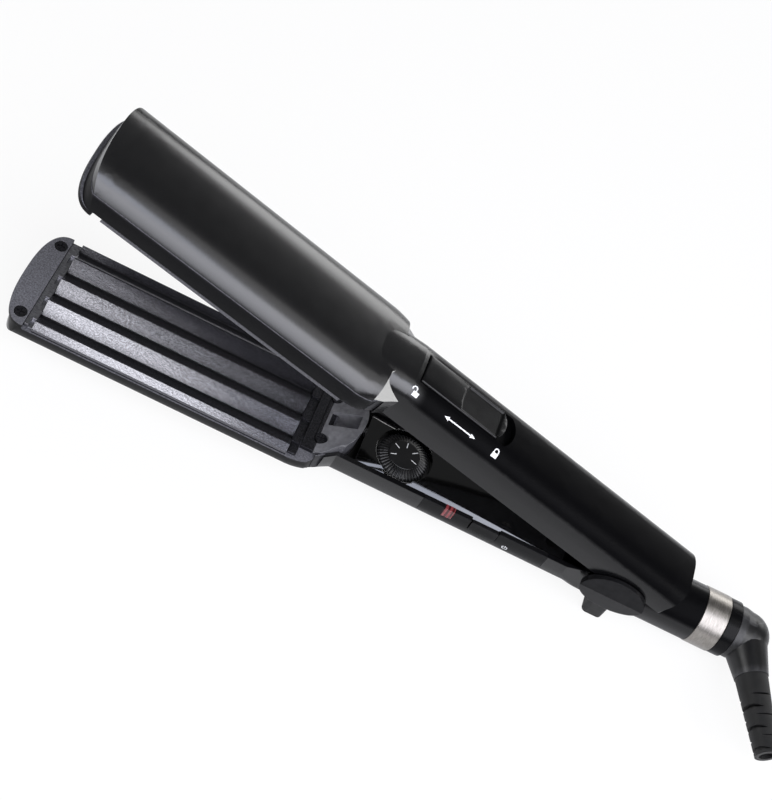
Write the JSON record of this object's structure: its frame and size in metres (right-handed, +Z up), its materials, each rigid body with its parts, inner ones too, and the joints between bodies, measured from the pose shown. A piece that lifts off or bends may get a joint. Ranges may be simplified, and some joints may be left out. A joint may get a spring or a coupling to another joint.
{
  "type": "hair crimping tongs",
  "caption": "Wide hair crimping tongs with interleaving ridged plates, a sprung hinge, a sliding arm lock, a heat dial, a power button and a swivelling cord elbow.",
  "frame": {"origin": "on the table under the hinge axis, on the flat underside of the rest foot", "axes": "+Z up, +X along the lower arm from the plates to the cord elbow, +Y to the side away from the power button"},
  "size_m": [0.3563, 0.076, 0.1192],
  "materials": {
    "shell_black": "satin gloss moulded housing",
    "heat_frame": "matte heat-resistant moulding",
    "plate_coating": "dark coated aluminium, satin",
    "clip_metal": "dark sheet steel",
    "ramp_grey": "fine matte grey moulding",
    "deck_gloss": "high gloss",
    "dial_black": "matte moulded knob",
    "control_black": "satin moulded control",
    "lens_red": "tinted clear lens",
    "led_body": "diffuse epoxy",
    "board_green": "circuit board",
    "switch_grey": "moulded component",
    "ceramic_white": "heater ceramic",
    "steel": "bright steel",
    "black_steel": "blackened steel",
    "band_steel": "polished steel band",
    "brass": "contact brass",
    "rubber_black": "matte rubber",
    "lead_sleeve": "glass-fibre sleeving"
  },
  "bodies": {
    "lower_arm": {"lower_shell": "shell_black", "lower_frame": "heat_frame", "lower_plate": "plate_coating", "lower_front_comb": "clip_metal", "lower_rear_bracket": "clip_metal", "lower_nose_screws": "black_steel", "lower_bracket_screws": "black_steel", "lower_heater": "ceramic_white", "lower_heater_leaf": "steel", "lower_leads": "lead_sleeve", "catch_ramp": "ramp_grey", "deck": "deck_gloss", "control_board": "board_green", "potentiometer": "switch_grey", "side_strip": "control_black", "indicator_lens": "lens_red", "indicator_led": "led_body", "power_switch": "switch_grey", "rest_foot": "rubber_black", "front_foot": "rubber_black", "hinge_pin": "steel", "hinge_caps": "control_black", "opening_spring": "steel", "handle_screws": "steel", "steel_band": "band_steel", "tail_ring": "control_black", "contact_brushes": "brass"},
    "upper_arm": {"upper_shell": "shell_black", "upper_frame": "heat_frame", "upper_plate": "plate_coating", "upper_front_comb": "clip_metal", "upper_rear_bracket": "clip_metal", "upper_nose_screws": "black_steel", "upper_bracket_screws": "black_steel", "upper_heater": "ceramic_white", "upper_heater_leaf": "steel", "upper_leads": "lead_sleeve", "upper_cover": "heat_frame", "cover_screws": "steel", "detent_spring": "steel"},
    "lock": {"lock_slider": "control_black", "lock_hook": "steel"},
    "dial": {"temperature_dial": "dial_black"},
    "power_key": {"power_button": "control_black"},
    "swivel": {"swivel_elbow": "dial_black", "strain_relief": "rubber_black", "slip_rings": "brass"}
  },
  "joints": [
    {"name": "arm_hinge", "type": "hinge", "parent": "lower_arm", "child": "upper_arm", "pos_m": [0, 0, 0.0218], "axis": [0, -1, 0], "range_deg": [0, 17.3], "stiffness_Nm_per_rad": 1, "springref_deg": -28.65, "deforming": ["opening_spring"]},
    {"name": "lock_slide", "type": "slide", "parent": "upper_arm", "child": "lock", "axis": [0.9548, 0, -0.2974], "range_m": [0, 0.0045]},
    {"name": "dial_turn", "type": "hinge", "parent": "lower_arm", "child": "dial", "pos_m": [-0.1002, 0, 0.0213], "axis": [0, 0, 1], "range_deg": [-115, 115]},
    {"name": "power_press", "type": "slide", "parent": "lower_arm", "child": "power_key", "axis": [0, 1, 0], "range_m": [0, 0.001], "stiffness_N_per_m": 1500, "springref_m": -0.0006},
    {"name": "swivel_turn", "type": "hinge", "parent": "lower_arm", "child": "swivel", "pos_m": [0.0561, 0, 0.0128], "axis": [1, 0, 0], "continuous": true}
  ]
}
